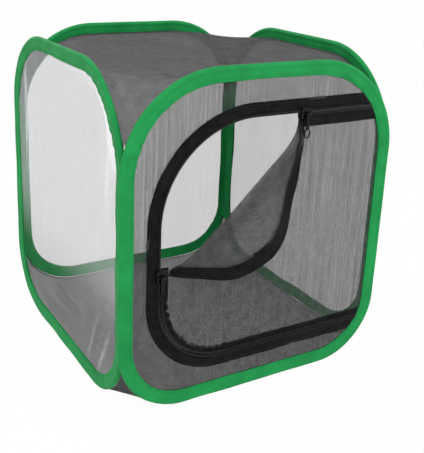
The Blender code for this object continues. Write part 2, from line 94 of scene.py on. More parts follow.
def setUp(node, values):
    # values are the node's properties, a ramp's stops, or its sockets by number or name: another node, or one
    # of its outputs, is joined to the socket, and anything else is set on it
    for name, value in values.items():
        if isinstance(value, bpy.types.Node):
            value = value.outputs[0]
        if name == "stops":
            for stop, (share, text) in zip(node.color_ramp.elements, value):
                stop.position, stop.color = share, colour(text)
        elif isinstance(value, bpy.types.NodeSocket):
            node.id_data.links.new(value, node.inputs[name])
        elif isinstance(name, str) and hasattr(node, name):
            setattr(node, name, value)
        else:
            node.inputs[name].default_value = value
    return node


def addNode(tree, kind, *sockets, **settings):
    # kind is the node's name with its operation after it, if it has one; sockets are its first ones in order
    kind, *operation = kind.split()
    node = tree.nodes.new("ShaderNode" + kind)
    if operation:
        node.operation = operation[0]
    return setUp(node, {**dict(enumerate(sockets)), **settings})


def newMaterial(name, settings):
    made = bpy.data.materials.new(name)
    made.use_nodes = True
    shader = setUp(made.node_tree.nodes["Principled BSDF"], settings)
    return made, partial(addNode, made.node_tree), shader


def ridges(add, distance, pitch):
    # the sine of a distance over the surface, one wave to each pitch in mm
    return add("Math SINE", add("Math MULTIPLY", distance, 2 * math.pi / (pitch * mm)))


def clouds(add, size, detail, roughness=0.5):
    # soft patches of a size in mm, fixed to the object
    where = add("TexCoord").outputs["Object"]
    return add("TexNoise", where, Scale=1 / (size * mm), Detail=detail, Roughness=roughness)


def wovenRibbon(look):
    # Plain-woven polyester ribbon, piece dyed: fine cross ribs, a soft sheen at grazing angles, a little paler
    # and darker in patches where the cloth has been pressed. UV runs along and across the ribbon, in metres.
    made, add, shader = newMaterial("wovenPolyesterRibbon", {
        "Roughness": 0.66, "Specular IOR Level": 0.16, "Sheen Weight": 0.07, "Sheen Roughness": 0.4,
        "Sheen Tint": colour(look["sheen"])})
    along, across, _ = add("SeparateXYZ", add("UVMap")).outputs
    weave = add("Math MULTIPLY", ridges(add, along, look["ribPitch"]), ridges(add, across, look["warpPitch"]))
    patches, fine = clouds(add, look["patch"], 3.0, 0.55), clouds(add, look["slub"], 2.0)
    share = add("Math MULTIPLY_ADD", patches, 1.1, add("Math MULTIPLY", weave, 0.10))
    share = add("Math SUBTRACT", add("Math MULTIPLY_ADD", fine, 0.25, share), 0.12)
    height = add("Math MULTIPLY_ADD", weave, 0.5, fine)
    setUp(shader, {
        "Base Color": add("ValToRGB", share, stops=((0.25, look["dark"]), (0.80, look["base"]))),
        "Normal": add("Bump", Strength=0.35, Distance=0.12 * mm, Height=height)})
    return made


def meshNet(name, look):
    # Warp-knitted polyester net: square openings between round dull threads, so it reads as grey smoke from
    # afar. UV is the flat cut. Round threads hide more of what is behind as the cloth turns away from the eye,
    # by the power "turning", and only the face turned to the eye is drawn.
    made, add, shader = newMaterial(name, {"Roughness": 0.85, "Specular IOR Level": 0.12})
    cut = add("UVMap")
    near = [add("Math PINGPONG", add("Math MULTIPLY", axis, 1 / mm), look["pitch"] / 2)
            for axis in add("SeparateXYZ", cut).outputs[:2]]
    nearest = add("Math MINIMUM", *near)
    turned = add("LayerWeight", Blend=0.5).outputs["Facing"]
    facing = add("Math MAXIMUM", add("Math SUBTRACT", 1.0, turned), 0.12)
    reach = add("Math MULTIPLY", add("Math POWER", facing, -look["turning"]), look["thread"] / 2)
    # the knit's columns run up the cloth, some pulled tighter than others, and show as fine upright lines
    column = add("Mapping", cut, Scale=(1 / (look["column"] * mm), 1 / (look["columnLength"] * mm), 0))
    pulled = add("TexNoise", column, Scale=1.0, Detail=2.0, Roughness=0.6)
    pull = add("Math MULTIPLY_ADD", pulled, look["uneven"], 1 - look["uneven"] / 2)
    reach = add("Math MULTIPLY", reach, pull)
    # hairs too fine to draw carry part of the cover: they veil the openings and leave gaps in the threads
    gaps = add("Math MAXIMUM", add("Math MULTIPLY_ADD", reach, -2 / look["pitch"], 1.0), 0.0)
    cover = add("Math SUBTRACT", 1.0, add("Math MULTIPLY", gaps, gaps))
    threads = add("Math MULTIPLY", add("Math LESS_THAN", nearest, reach), 1 - look["hairs"])
    mask = add("Math MULTIPLY_ADD", cover, look["hairs"], threads)
    front = add("Math SUBTRACT", 1.0, add("NewGeometry").outputs["Backfacing"])
    crown = add("Math SUBTRACT", look["thread"] / 2, nearest)     # threads are highest along their middle
    lint = clouds(add, look["lint"], 4.0)
    setUp(shader, {
        "Alpha": add("Math MULTIPLY", mask, front),
        "Base Color": add("ValToRGB", lint, stops=((0.3, look["dark"]), (0.75, look["pale"]))),
        "Normal": add("Bump", Strength=0.5, Distance=0.1 * mm, Height=crown)})
    return made


def clearVinyl(look):
    # Calendered clear PVC film: near colourless, with a faint milky haze and only weak reflections of its own;
    # the soft bright reflections on its ripples are painted highlights, streaks whitened and made metallic. The
    # haze thickens towards the top, so the film is paler there.
    made, add, shader = newMaterial("clearVinylFilm", {
        "Base Color": colour(look["base"]), "Roughness": 0.16, "IOR": 1.12})
    level = add("SeparateXYZ", add("TexCoord").outputs["Object"]).outputs[2]
    rise = add("MapRange", level, *(k * mm for k in look["hazeHeights"]), *look["haze"],
               interpolation_type="SMOOTHSTEP")
    uneven = add("MapRange", clouds(add, look["cloud"], 3.0), 0.3, 0.75, 0.85, 1.15)
    # painted highlights: along each crease streak the film is whitened and made metallic, so that it mirrors
    # the white studio as a bright glare; the streak value is worked out with the film's own shape
    creaseHighlight = add("Attribute", attribute_name="creaseHighlight").outputs["Fac"]
    alpha = add("Math ADD", add("Math MULTIPLY", rise, uneven), creaseHighlight)
    setUp(shader, {
        "Alpha": add("Math MINIMUM", alpha, 0.95),
        "Metallic": add("Math MULTIPLY", creaseHighlight, 0.9),
        "Normal": add("Bump", Strength=0.3, Distance=0.6 * mm, Height=clouds(add, look["smear"], 2.0))})
    return made


def zipperTape(look):
    # Herringbone-woven polyester zipper tape, dyed black: dull, with fine slanting ribs that turn at the
    # middle, and rows of the weave that run along the tape as paler and darker lines.
    made, add, shader = newMaterial("wovenZipperTape", {
        "Roughness": 0.8, "Specular IOR Level": 0.08, "Sheen Weight": 0.02, "Sheen Roughness": 0.5})
    along, across, _ = add("SeparateXYZ", add("UVMap")).outputs
    slant = add("Math ADD", along, add("Math PINGPONG", across, look["turn"] * mm))
    rib, rows = ridges(add, slant, look["ribPitch"]), ridges(add, across, look["rowPitch"])
    share = add("Math MULTIPLY_ADD", rib, 0.1, clouds(add, look["wear"], 4.0))
    share = add("Math MULTIPLY_ADD", rows, 0.16, share)
    setUp(shader, {
        "Base Color": add("ValToRGB", share, stops=((0.3, look["dark"]), (0.8, look["pale"]))),
        "Normal": add("Bump", Strength=0.6, Distance=0.15 * mm, Height=rib)})
    return made


def nylonCoil(look):
    # Nylon monofilament, dyed black and heat set into a coil: smooth, with a soft waxy highlight on every turn.
    made, add, shader = newMaterial("nylonMonofilament", {"Roughness": 0.34, "Specular IOR Level": 0.5})
    dust = clouds(add, look["dust"], 3.0)
    setUp(shader, {"Base Color": add("ValToRGB", dust, stops=((0.35, look["dark"]), (0.85, look["pale"])))})
    return made


def metal(name, look):
    # pale and dull are the polished and the handled tone; grain is the size of the wear in mm
    made, add, shader = newMaterial(name, {"Metallic": 1.0})
    wear, rough = clouds(add, look["grain"], 4.0, 0.6), look["roughness"]
    setUp(shader, {
        "Base Color": add("ValToRGB", wear, stops=((0.35, look["dull"]), (0.7, look["pale"]))),
        "Roughness": add("MapRange", wear, 0.0, 1.0, rough * 0.8, rough * 1.3),
        "Normal": add("Bump", Strength=0.15, Distance=0.05 * mm, Height=wear)})
    return made


# real ribs are 0.35 mm apart, drawn 0.9 mm so that they show
ribbon = wovenRibbon({"base": "1a9049", "dark": "107a3c", "sheen": "8fdca8", "ribPitch": 0.9, "warpPitch": 0.7,
                      "patch": 22, "slub": 1.6})
# the mesh is as fine as on a real insect cage; "hairs" is the share of the cover that isn't drawn as threads
knit = {"pitch": 0.6, "hairs": 0.5, "column": 2.2, "columnLength": 160, "lint": 9, "dark": "343335",
        "pale": "4c4b4d", "turning": 0.5}
outerNet = meshNet("polyesterNetOutside", {**knit, "thread": 0.204, "uneven": 0.95})
innerNet = meshNet("polyesterNetInside", {**knit, "thread": 0.126, "uneven": 0.3})
coverNet = meshNet("closeKnitPolyesterNet", {**knit, "thread": 0.32, "uneven": 0.5, "turning": 0.2,
                                             "dark": "353436"})
# the folded corner hangs loose, so its mesh closes; its threads are also drawn a little paler than the same net
# elsewhere, as painted light
cornerNetPaintedLight = meshNet("relaxedPolyesterNetPaintedLight", {**knit, "thread": 0.27, "uneven": 0.7, "turning": 0.3,
                                            "dark": "39383a", "pale": "504f51"})
vinyl = clearVinyl({"base": "f4f5f7", "hazeHeights": (70, 150), "haze": (0.008, 0.15), "cloud": 60,
                    "smear": 30})
# real ribs are 0.5 mm apart, drawn 1.1 mm so that they show
tape = zipperTape({"dark": "060607", "pale": "1c1c1d", "turn": 2.4, "ribPitch": 1.1, "rowPitch": 2.65,
                   "wear": 7})
coil = nylonCoil({"dark": "0a0a0b", "pale": "232325", "dust": 2.5})
# die-cast zinc, plated with black nickel: dark and smooth, with soft grey highlights on its edges
enamel = metal("blackPlatedZinc", {"pale": "3a3a3d", "dull": "0e0e10", "roughness": 0.3, "grain": 1.2})
# cold-drawn spring steel, oiled: a mid grey with long soft highlights
steel = metal("oiledSpringSteel", {"pale": "9a9a9e", "dull": "6f6f74", "roughness": 0.3, "grain": 3.0})
# drawn tube, nickel plated: warm, pale and bright
plated = metal("nickelPlatedSteel", {"pale": "c8c3b8", "dull": "97928a", "roughness": 0.25, "grain": 4.0})
print("materials made")


# Mesh helpers
def smoothStep(value):
    # 0 up to 0, 1 from 1 on, and 3x² - 2x³ between
    value = np.clip(value, 0, 1)
    return value * value * (3 - 2 * value)


def hump(distance, width):
    # 1 at no distance, falling as a bell curve to 1/e at the width
    return np.exp(-(distance / width) ** 2)


def ripple(seed, shortest, longest, coords, waves=14):
    # a sum of sine waves in random directions, each as tall as it is long, scaled to about one
    rng = np.random.default_rng(seed)
    total, power = 0, 0
    for _ in range(waves):
        length = shortest * (longest / shortest) ** rng.random()
        heading = rng.normal(size=coords.shape[-1])
        heading /= np.linalg.norm(heading)
        total = total + length * np.sin(2 * np.pi * (coords @ heading) / length + 2 * np.pi * rng.random())
        power += length * length / 2
    return total / math.sqrt(power)


def gridFaces(rows, cols, closeRows=False, closeCols=False):
    # four corners a face, as (row, column), counted past the end where the grid closes on itself
    i, j = np.meshgrid(np.arange(rows if closeRows else rows - 1), np.arange(cols if closeCols else cols - 1),
                       indexing="ij")
    i, j = i.ravel(), j.ravel()
    corners = np.stack([i, j, i + 1, j, i + 1, j + 1, i, j + 1], 1).reshape(-1, 4, 2)
    return (corners[..., 0] % rows) * cols + corners[..., 1] % cols, corners


def makePiece(name, points, faces, body, material, stands=(), uv=None, closed=True):
    # uv holds a place for each point, or one for each face's corners in turn
    mesh = bpy.data.meshes.new(name)
    mesh.from_pydata((points * mm).tolist(), [], [list(f) for f in faces])
    if uv is not None:
        uv = uv[np.concatenate(faces)] if len(uv) == len(points) else uv
        mesh.uv_layers.new(name="cut").data.foreach_set("uv", (uv * mm).astype(np.float32).ravel())
    if closed:
        bm = bmesh.new()
        bm.from_mesh(mesh)
        bmesh.ops.recalc_face_normals(bm, faces=bm.faces)
        bm.to_mesh(mesh)
        bm.free()
    mesh.polygons.foreach_set("use_smooth", np.ones(len(mesh.polygons), bool))
    mesh.materials.append(material)
    piece = newObject(name, mesh)
    if stands:
        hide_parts(*stands)
    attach(piece, body)
    return piece


def loft(rings, closePath, along, across):
    # rings is (stations, section, 3); the section always closes, and an open path is capped at both ends
    rows, cols = rings.shape[:2]
    faces, corners = gridFaces(rows, cols, closePath, True)
    cornerUv = np.stack([along[corners[..., 0]], across[corners[..., 1]]], -1).reshape(-1, 2)
    faces = faces.tolist()
    if not closePath:
        faces += [list(range(cols)), list(range((rows - 1) * cols, rows * cols))[::-1]]
        cornerUv = np.concatenate([cornerUv, np.zeros((2 * cols, 2))])
    return rings.reshape(-1, 3), faces, cornerUv


def tubeAlong(path, radius, sides):
    # a round tube: each point carries a ring square to the path, whose first axis is square to the last point's
    # direction too, and a small fixed nudge settles that axis where the path is straight
    tangent = np.gradient(path, axis=0)
    tangent /= np.linalg.norm(tangent, axis=1, keepdims=True)
    nudge = np.array([0.013, 0.021, 0.034])
    side = np.cross(tangent, np.roll(tangent, 1, 0) + nudge)
    side /= np.linalg.norm(side, axis=1, keepdims=True)
    other = np.cross(tangent, side)
    angle = np.arange(sides)[None, :, None] * 2 * np.pi / sides
    return path[:, None] + radius * (np.cos(angle) * side[:, None] + np.sin(angle) * other[:, None])


# Panels: each has its own plane, with u to the right as seen from outside, d outwards and z up
panelAxes = {"front": ((1, 0, 0), (0, -1, 0)), "back": ((-1, 0, 0), (0, 1, 0)),
             "left": ((0, -1, 0), (-1, 0, 0)), "right": ((0, 1, 0), (1, 0, 0))}
panelAxes = {side: np.array(axes, float) for side, axes in panelAxes.items()}
zAxis = np.array([0.0, 0, 1])
hoopLow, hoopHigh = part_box("front_binding")
hoop = {"half": (hoopHigh.x - hoopLow.x) / 2 / mm, "height": (hoopHigh.z - hoopLow.z) / mm,
        "topRadius": 97, "bottomRadius": 70, "width": 14.5}


def panelPlane(side):
    low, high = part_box(side + "_binding")
    return (low + high) / 2 / mm


def place(side, u, d, z):
    centre = np.array(panelPlane(side))
    centre[2] = 0
    right, out = panelAxes[side]
    return centre + u[..., None] * right + d[..., None] * out + z[..., None] * zAxis


def onFront(u, d, z):
    return place("front", u, d, z)


def hoopOutline(count):
    # the hoop's rounded square: straight runs and quarter circles, resampled at even steps of arc length
    half, height, top, low = hoop["half"], hoop["height"], hoop["topRadius"], hoop["bottomRadius"]
    turn = np.linspace(0, np.pi / 2, 60)
    parts, normals = [], []
    for cu, cz, radius, start in ((half - low, low, low, -np.pi / 2), (half - top, height - top, top, 0),
                                  (top - half, height - top, top, np.pi / 2), (low - half, low, low, np.pi)):
        ring = np.stack([np.cos(start + turn), np.sin(start + turn)], 1)
        parts.append(np.array([cu, cz]) + radius * ring)
        normals.append(ring)
    points, normals = np.concatenate(parts + [parts[0][:1]]), np.concatenate(normals + [normals[0][:1]])
    run = np.concatenate([[0], np.cumsum(np.linalg.norm(np.diff(points, axis=0), axis=1))])
    at = np.linspace(0, run[-1], count, endpoint=False)
    resampled = np.stack([np.interp(at, run, points[:, k]) for k in (0, 1)], 1)
    facing = np.stack([np.interp(at, run, normals[:, k]) for k in (0, 1)], 1)
    facing /= np.linalg.norm(facing, axis=1, keepdims=True)
    return resampled, facing, np.append(at, run[-1])


def cornerAt(z):
    # the hoop's corner radius in the half that z lies in, and how far z lies beyond the end of its upright
    upper = z > hoop["height"] / 2
    radius = np.where(upper, hoop["topRadius"], hoop["bottomRadius"])
    return radius, np.where(upper, z - hoop["height"], -z) + radius


def insetAt(u, z):
    # how far a point of the panel lies inside the hoop's outline
    radius, up = cornerAt(z)
    across = np.abs(u) - (hoop["half"] - radius)
    return radius - np.hypot(np.maximum(across, 0), np.maximum(up, 0)) - np.minimum(np.maximum(across, up), 0)


# Bindings
bindingSettings = {
    "bead": 2.84, "neck": 3.2, "flank": 1.25, "edge": 0.85, "puff": 0.5, "puffFrom": 5.2, "puffWidth": 6.6,
    "stitchInset": 12.3, "stitchDip": 0.3, "stitchWidth": 0.7, "channel": 2.15, "slot": 0.35, "stations": 420,
    "pucker": 0.2, "puckerStraight": 0.1, "puckerMost": 0.75, "puckerLengths": (7, 16),
    "drawn": 0.22, "sway": 0.25, "swayLengths": (40, 130),
}


def bindingDepth(inset, settings):
    # half thickness of the folded ribbon: round over the wire, then a flank with a soft puff and a stitched dip
    bead = settings["bead"]
    over = np.sqrt(np.maximum(bead ** 2 - (np.minimum(inset, bead) - bead) ** 2, 0))
    fall = settings["flank"] + (bead - settings["flank"]) * hump(inset - bead, settings["neck"])
    puffed = np.clip((inset - settings["puffFrom"]) / settings["puffWidth"], 0, 1)
    fall = fall + settings["puff"] * np.sin(np.pi * puffed)
    fall = fall - settings["stitchDip"] * hump(inset - settings["stitchInset"], settings["stitchWidth"])
    return np.where(inset < bead, over, fall)


def bindingSection(settings):
    # (inset, depth, outer share) of the closed section: the outer face over the bead, then the hollow inside
    bead, width, slot = settings["bead"], hoop["width"], settings["slot"]
    flank = np.linspace(width, bead + 0.35, 13)
    lip = bindingDepth(flank, settings)
    lip[0] = settings["edge"]
    turn = np.linspace(np.pi / 2, 3 * np.pi / 2, 13)
    inner = [(width - 0.35, -slot), (9.0, -slot), (6.4, -slot - 0.15)]
    points = list(zip(flank, lip, np.ones(13)))
    points += [(bead + bead * math.cos(a), bead * math.sin(a), 1) for a in turn]
    points += list(zip(flank[::-1], -lip[::-1], np.ones(13)))
    points += [(i, d, 0) for i, d in inner]
    points += [(bead + settings["channel"] * math.cos(a), -settings["channel"] * math.sin(a), 0)
               for a in np.linspace(0.18 * np.pi, 1.82 * np.pi, 9)]
    points += [(i, -d, 0) for i, d in reversed(inner)]
    return np.array(points)


def makeBinding(side, seed, settings):
    # the section carried round the hoop: its faces pucker most at the corners and towards the sewn edge, and
    # the whole band sways a little to both sides of its plane
    outline, facing, run = hoopOutline(settings["stations"])
    section = bindingSection(settings)
    inset, depth, outer = (section[:, k][None, :] for k in range(3))
    corner = smoothStep((np.minimum(np.abs(facing[:, 0]), np.abs(facing[:, 1])) - 0.02) / 0.35)[:, None]
    folds = ripple(seed, *settings["puckerLengths"], outline)[:, None]
    lazy = ripple(seed + 40, *settings["swayLengths"], outline)[:, None]
    grow = (settings["puckerStraight"] + settings["pucker"] * corner) * np.clip((inset - 3) / 9, 0, 1)
    shaped = depth + np.sign(depth) * outer * np.minimum(grow * folds, settings["puckerMost"])
    drawn = inset + outer * settings["drawn"] * lazy * np.clip((inset - 5) / 9, 0, 1)
    centre = outline[:, None, :] - facing[:, None, :] * drawn[..., None]
    sway = settings["sway"] * lazy
    rings = place(side, centre[..., 0], shaped + sway, centre[..., 1])
    width = np.concatenate([[0], np.cumsum(np.hypot(np.diff(section[:, 0]), np.diff(section[:, 1])))])
    points, faces, cornerUv = loft(rings, True, run, np.append(width, width[-1] + 0.7))
    makePiece(side + "Binding", points, faces, side + "_panel", ribbon, [side + "_binding"],
              cornerUv)
    return outline, facing, run, sway[:, 0]


def capsule(length, radius, rings=5, sides=6):
    # a grain of thread: a tube that stays thick over its middle and narrows fast towards both ends
    t = np.linspace(-1, 1, rings + 2)[1:-1]
    angle = np.arange(sides) * 2 * np.pi / sides
    size = radius * np.sqrt(1 - (np.abs(t) * 0.93) ** 4)
    body = np.stack([np.repeat(t * length / 2, sides), np.outer(size, np.cos(angle)).ravel(),
                     np.outer(size, np.sin(angle)).ravel()], 1)
    points = np.concatenate([body, [[-length / 2, 0, 0], [length / 2, 0, 0]]])
    k = np.arange(sides)
    after, last, tip = (k + 1) % sides, (rings - 1) * sides, 0 * k + rings * sides
    caps = np.stack([k, after, tip, last + after, last + k, tip + 1], 1).reshape(-1, 3)
    return points, (gridFaces(rings, sides, False, True)[0], caps)


def stamp(shape, origins, axes):
    # copies of one small shape, each at its own place and turned to its own three axes
    points, groups = shape
    placed = origins[:, None, :] + np.einsum("pk,nkc->npc", points, axes)
    offsets = (np.arange(len(origins)) * len(points))[:, None, None]
    faces = [face for group in groups for face in (group + offsets).reshape(-1, group.shape[1]).tolist()]
    return placed.reshape(-1, 3), faces


stitchSettings = {"pitch": 3.1, "length": 2.3, "radius": 0.24, "sink": 0.05}


def makeStitches(side, outline, facing, run, sway, settings):
    # a stitch at even steps of arc length along the sewn dip, on both faces of the binding
    count = int(run[-1] / settings["pitch"])
    at, sign = np.tile(np.arange(count) * run[-1] / count, 2), np.repeat([1, -1], count)
    closed = np.append(np.arange(len(outline)), 0)
    u, z = (np.interp(at, run, outline[closed, k]) for k in (0, 1))
    nu, nz = (np.interp(at, run, facing[closed, k]) for k in (0, 1))
    shift = np.interp(at, run, sway[closed])
    inset = bindingSettings["stitchInset"]
    level = bindingDepth(np.array([inset]), bindingSettings)[0] + settings["radius"] - settings["sink"]
    right, out = panelAxes[side]
    radial = nu[:, None] * right + nz[:, None] * zAxis
    along = -nz[:, None] * right + nu[:, None] * zAxis
    origin = place(side, u - nu * inset, shift + sign * level, z - nz * inset)
    axes = np.stack([along, radial, sign[:, None] * out], 1)
    points, faces = stamp(capsule(settings["length"], settings["radius"]), origin, axes)
    makePiece(side + "Stitching", points, faces, side + "_panel", ribbon, uv=points[:, :2])


for number, side in enumerate(("front", "left", "right", "back")):
    makeStitches(side, *makeBinding(side, 11 + number, bindingSettings), stitchSettings)
print("bindings and stitching made")


# Cloth panels
netSettings = {"inset": 8.0, "spacing": 5.0, "thickness": 0.16, "wrinkle": 0.3,
               "billow": 1.6, "billowWide": 200, "billowHigh": 210, "billowMiddle": 160}


def clothPlan(outline, spacing):
    # points of a triangular grid inside the outline, joined to it by a constrained Delaunay triangulation
    outline = np.asarray(outline, float)
    low, high = outline.min(0), outline.max(0)
    rows = np.arange(low[1], high[1], spacing * 0.866)
    cols = np.arange(low[0], high[0], spacing)
    u, z = np.meshgrid(cols, rows)
    u = u + (np.arange(len(rows)) % 2)[:, None] * spacing / 2
    grid = np.stack([u.ravel(), z.ravel()], 1)
    a, b = outline, np.roll(outline, -1, 0)
    crosses = (a[:, 1] > grid[:, 1:2]) != (b[:, 1] > grid[:, 1:2])
    with np.errstate(divide="ignore", invalid="ignore"):
        meet = (b[:, 0] - a[:, 0]) * (grid[:, 1:2] - a[:, 1]) / (b[:, 1] - a[:, 1]) + a[:, 0]
    inside = (crosses & (grid[:, 0:1] < meet)).sum(1) % 2 == 1
    grid = grid[inside]
    along = np.clip(((grid[:, None] - a) * (b - a)).sum(-1) / np.maximum(((b - a) ** 2).sum(-1), 1e-9), 0, 1)
    far = np.linalg.norm(grid[:, None] - (a + along[..., None] * (b - a)), axis=-1).min(1)
    grid = grid[far > spacing * 0.5]
    count = len(outline)
    spots = [Vector(p) for p in np.concatenate([outline, grid])]
    edges = [(k, (k + 1) % count) for k in range(count)]
    made = geometry.delaunay_2d_cdt(spots, edges, [], 1, 1e-5)
    return np.array([tuple(p) for p in made[0]]), np.array([list(f) for f in made[2]])


def evenly(points, spacing):
    # the same open line with its long edges divided
    points = np.asarray(points, float)
    made = []
    for a, b in zip(points[:-1], points[1:]):
        steps = max(1, int(round(np.linalg.norm(b - a) / spacing)))
        made.append(a + (b - a) * np.arange(steps)[:, None] / steps)
    return np.concatenate(made + [points[-1:]])


def makeSheet(name, node, points, faces, towards, plan, body, materials,
              thickness=netSettings["thickness"]):
    # the faces are turned over if together they face away from "towards"; plan is the flat cut; materials are
    # the outer and the inner face's, and the sheet gets its thickness evenly on both sides
    corner = points[faces]
    normal = np.cross(corner[:, 1] - corner[:, 0], corner[:, 2] - corner[:, 0]).sum(0)
    faces = faces if normal @ np.asarray(towards, float) > 0 else faces[:, ::-1]
    piece = makePiece(name, points, faces, body, materials[0], [node], uv=plan, closed=False)
    piece.data.materials.append(materials[1])
    piece.data.materials.append(materials[0])
    solid = piece.modifiers.new("thickness", "SOLIDIFY")
    solid.thickness = thickness * mm
    solid.offset = 0
    solid.use_even_offset = False
    solid.material_offset = 1
    solid.material_offset_rim = 2
    return piece


def makePanel(name, node, side, seed, settings, materials, bend):
    # cut along the hoop's outline less the inset; the panel's own bend fades out towards its held edge
    outline, facing, _ = hoopOutline(240)
    plan, faces = clothPlan(outline - facing * settings["inset"], settings["spacing"])
    u, z = plan[:, 0], plan[:, 1]
    held = smoothStep((insetAt(u, z) - settings["inset"] - 3) / 45)
    depth = held * bend(u, z) + held ** 0.5 * settings["wrinkle"] * ripple(seed, 25, 110, plan)
    points = place(side, u, depth, z)
    return makeSheet(name, node, points, faces, panelAxes[side][1], plan, side + "_panel", materials,
                     thickness=settings["thickness"])


def netBend(u, z):
    # one shallow billow, a cosine each way
    rise = np.cos(u / netSettings["billowWide"])
    return netSettings["billow"] * rise * np.cos((z - netSettings["billowMiddle"]) / netSettings["billowHigh"])


makePanel("backNet", "back_net", "back", 31, netSettings, (outerNet, innerNet), netBend)
makePanel("rightNet", "right_net", "right", 32, netSettings, (outerNet, innerNet), netBend)

# Film: u grows towards the front
filmSettings = {
    "inset": 8.0, "spacing": 3.6, "thickness": 0.3, "wrinkle": 0.5,
    "rear": {"height": 1.9, "u": -108, "sway": 6, "swayLength": 60, "width": 6.5, "from": 90, "over": 90},
    "front": {"height": 2.6, "u": 112, "lean": 0.16, "z": 200, "width": 6.0, "from": 120, "over": 70},
    "low": {"height": 1.2, "lean": 0.6, "length": 17, "below": 110, "over": 90},
    "billow": {"height": 1.2, "length": 160},
}
# painted highlight streaks on the film: where each lies and how white it is
creaseHighlightSettings = {
    "wide": {"narrow": 2.5, "spread": 7, "top": 300, "over": 45, "soft": 3, "z": 272, "half": 32},
    "edge": {"paintedHighlight": 0.3, "inset": 15, "z": 250, "lean": 12, "width": 2.2, "middle": 235, "half": 38},
    "thin": {"paintedHighlight": 0.5, "u": -110, "sway": 4, "swayLength": 48, "width": 5.0, "middle": 245, "half": 38},
    "fan": {"paintedHighlight": 0.12, "lean": 0.5, "length": 9, "width": 0.22, "from": 40, "wide": 60, "below": 95,
            "high": 50},
}


def filmBend(u, z):
    # long soft ridges near the upright edges and along the upper front corner, where the film is drawn tight,
    # low slanting waves and one billow
    rear, front, low, billow = (filmSettings[k] for k in ("rear", "front", "low", "billow"))
    rearLine = rear["u"] - rear["sway"] * np.sin(z / rear["swayLength"])
    frontLine = front["u"] + front["lean"] * (z - front["z"])
    depth = 0
    for ridge, line in ((rear, rearLine), (front, frontLine)):
        rise = smoothStep((z - ridge["from"]) / ridge["over"])
        depth += ridge["height"] * hump(u - line, ridge["width"]) * rise
    waves = np.sin((u + low["lean"] * z) / low["length"])
    depth += low["height"] * waves * smoothStep((low["below"] - z) / low["over"])
    return depth + billow["height"] * np.cos(u / billow["length"])


def filmCreaseHighlight(u, z):
    # painted highlight streaks, drawn as soft white creases: a broad one down from the upper front corner with
    # a narrow one beside it, a thin one by the rear edge, and a fan of faint ones low at the front, each a hump
    # across and along its line
    wide, edge, thin, fan = creaseHighlightSettings.values()
    seam = insetAt(u, z) - hoop["width"]
    reach = wide["narrow"] + wide["spread"] * smoothStep((wide["top"] - z) / wide["over"])
    paintedHighlight = (1 - smoothStep((seam - reach) / wide["soft"])) * (u > 0)
    paintedHighlight = paintedHighlight * np.exp(-(np.abs(z - wide["z"]) / wide["half"]) ** 3)
    beside = seam - edge["inset"] - (edge["z"] - z) / edge["lean"]
    paintedHighlight += edge["paintedHighlight"] * hump(beside, edge["width"]) * hump(z - edge["middle"], edge["half"]) * (u > 0)
    thinLine = thin["u"] - thin["sway"] * np.sin(z / thin["swayLength"])
    paintedHighlight += thin["paintedHighlight"] * hump(u - thinLine, thin["width"]) * hump(z - thin["middle"], thin["half"])
    rays = hump(np.sin((u - fan["lean"] * z) / fan["length"]), fan["width"])
    low = smoothStep((u - fan["from"]) / fan["wide"]) * smoothStep((fan["below"] - z) / fan["high"])
    return np.clip(paintedHighlight + fan["paintedHighlight"] * rays * low, 0, 1)


film = makePanel("filmWindow", "left_window", "left", 33, filmSettings, (vinyl, vinyl), filmBend)
spots = np.array([v.co for v in film.data.vertices]) / mm
# the film's painted highlight streaks, kept on each point for its material
paintedHighlight = filmCreaseHighlight(panelPlane("left")[1] - spots[:, 1], spots[:, 2])
film.data.attributes.new("creaseHighlight", "FLOAT", "POINT").data.foreach_set("value", paintedHighlight.astype(np.float32))
print("side panels made")


# Top and floor: flat in the middle and bent about 45 degree lines at the corners, where they follow the hoops
coverSettings = {"step": 4.6, "grow": 1.6, "sag": 2.6, "sagOver": 60, "wrinkle": 0.6, "wrinkleOver": 25,
                 "floorShare": 0.35, "topSeam": 12.5, "floorSeam": 0.0}


